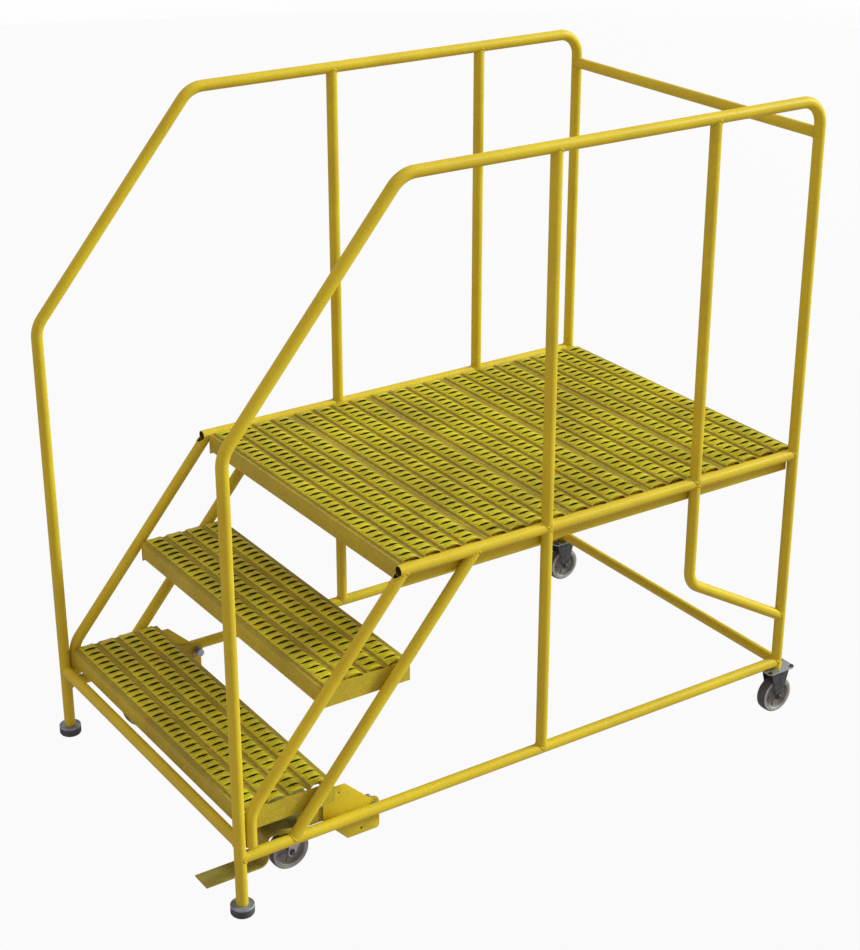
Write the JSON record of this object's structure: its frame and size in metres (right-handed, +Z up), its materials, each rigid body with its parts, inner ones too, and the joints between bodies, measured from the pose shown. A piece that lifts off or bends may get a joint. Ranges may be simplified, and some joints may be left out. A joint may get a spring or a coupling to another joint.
{
  "type": "mobile ladder stand",
  "caption": "Welded tube access stand with slatted steps and platform, side handrails, rear casters and a pedal-locked front caster carrier.",
  "frame": {"origin": "on the floor, at the middle of the bounding box", "axes": "+Z up, +Y the way the steps are climbed, +X the climber's right"},
  "size_m": [1.0128, 1.7718, 1.6963],
  "materials": {
    "yellow_paint": "semi-gloss safety yellow",
    "zinc_plate": "zinc plated",
    "dark_zinc": "dark plated",
    "grey_wheel": "moulded grey",
    "dark_rubber": "matte",
    "bolt_steel": "plated",
    "spring_steel": "plain"
  },
  "bodies": {
    "frame": {"anchor_plate_left": "yellow_paint", "anchor_plate_right": "yellow_paint", "bottom_rail_left": "yellow_paint", "bottom_rail_right": "yellow_paint", "foot_cap_left": "zinc_plate", "foot_cap_right": "zinc_plate", "foot_pad_left": "dark_rubber", "foot_pad_right": "dark_rubber", "front_cross_bar": "yellow_paint", "front_stringer_left": "yellow_paint", "front_stringer_right": "yellow_paint", "guard_post_front_left": "yellow_paint", "guard_post_front_right": "yellow_paint", "guard_post_rear_left": "yellow_paint", "guard_post_rear_right": "yellow_paint", "handrail_left": "yellow_paint", "handrail_right": "yellow_paint", "lower_post_left": "yellow_paint", "lower_post_right": "yellow_paint", "pivot_pin_left": "zinc_plate", "pivot_pin_right": "zinc_plate", "platform_plank_1": "yellow_paint", "platform_plank_2": "yellow_paint", "platform_plank_3": "yellow_paint", "platform_plank_4": "yellow_paint", "platform_plank_5": "yellow_paint", "platform_side_bar_left": "yellow_paint", "platform_side_bar_right": "yellow_paint", "platform_side_tube_left": "yellow_paint", "platform_side_tube_right": "yellow_paint", "rear_axle_left": "bolt_steel", "rear_axle_right": "bolt_steel", "rear_bottom_bar": "yellow_paint", "rear_brace_left": "yellow_paint", "rear_brace_right": "yellow_paint", "rear_caster_fork_left": "dark_zinc", "rear_caster_fork_right": "dark_zinc", "rear_caster_plate_left": "zinc_plate", "rear_caster_plate_right": "zinc_plate", "rear_stringer_left": "yellow_paint", "rear_stringer_right": "yellow_paint", "rear_top_bar": "yellow_paint", "step_1": "yellow_paint", "step_2": "yellow_paint"},
    "caster_lock": {"caster_carrier": "yellow_paint", "lock_pedal": "yellow_paint", "front_caster_plate_right": "zinc_plate", "front_caster_plate_left": "zinc_plate", "kingpin_right": "dark_zinc", "kingpin_left": "dark_zinc", "return_spring_right": "spring_steel", "return_spring_left": "spring_steel"},
    "front_caster_swivel_right": {"front_caster_fork_right": "zinc_plate", "front_axle_right": "bolt_steel"},
    "front_wheel_right": {"front_wheel_right": "grey_wheel"},
    "rear_wheel_right": {"rear_wheel_right": "grey_wheel"},
    "front_caster_swivel_left": {"front_caster_fork_left": "zinc_plate", "front_axle_left": "bolt_steel"},
    "front_wheel_left": {"front_wheel_left": "grey_wheel"},
    "rear_wheel_left": {"rear_wheel_left": "grey_wheel"}
  },
  "joints": [
    {"name": "caster_lock_hinge", "type": "hinge", "parent": "frame", "child": "caster_lock", "pos_m": [0, -0.4389, 0.151], "axis": [1, 0, 0], "range_deg": [0, 8], "stiffness_Nm_per_rad": 20, "springref_deg": -54.43},
    {"name": "front_swivel_right", "type": "hinge", "parent": "caster_lock", "child": "front_caster_swivel_right", "pos_m": [0.392, -0.6099, 0.141], "axis": [0, 0, 1], "continuous": true},
    {"name": "front_wheel_spin_right", "type": "hinge", "parent": "front_caster_swivel_right", "child": "front_wheel_right", "pos_m": [0.392, -0.6399, 0.065], "axis": [1, 0, 0], "continuous": true},
    {"name": "rear_wheel_spin_right", "type": "hinge", "parent": "frame", "child": "rear_wheel_right", "pos_m": [0.4764, 0.8351, 0.0508], "axis": [1, 0, 0], "continuous": true},
    {"name": "front_swivel_left", "type": "hinge", "parent": "caster_lock", "child": "front_caster_swivel_left", "pos_m": [-0.392, -0.6099, 0.141], "axis": [0, 0, 1], "continuous": true},
    {"name": "front_wheel_spin_left", "type": "hinge", "parent": "front_caster_swivel_left", "child": "front_wheel_left", "pos_m": [-0.392, -0.6399, 0.065], "axis": [1, 0, 0], "continuous": true},
    {"name": "rear_wheel_spin_left", "type": "hinge", "parent": "frame", "child": "rear_wheel_left", "pos_m": [-0.4764, 0.8351, 0.0508], "axis": [1, 0, 0], "continuous": true}
  ]
}
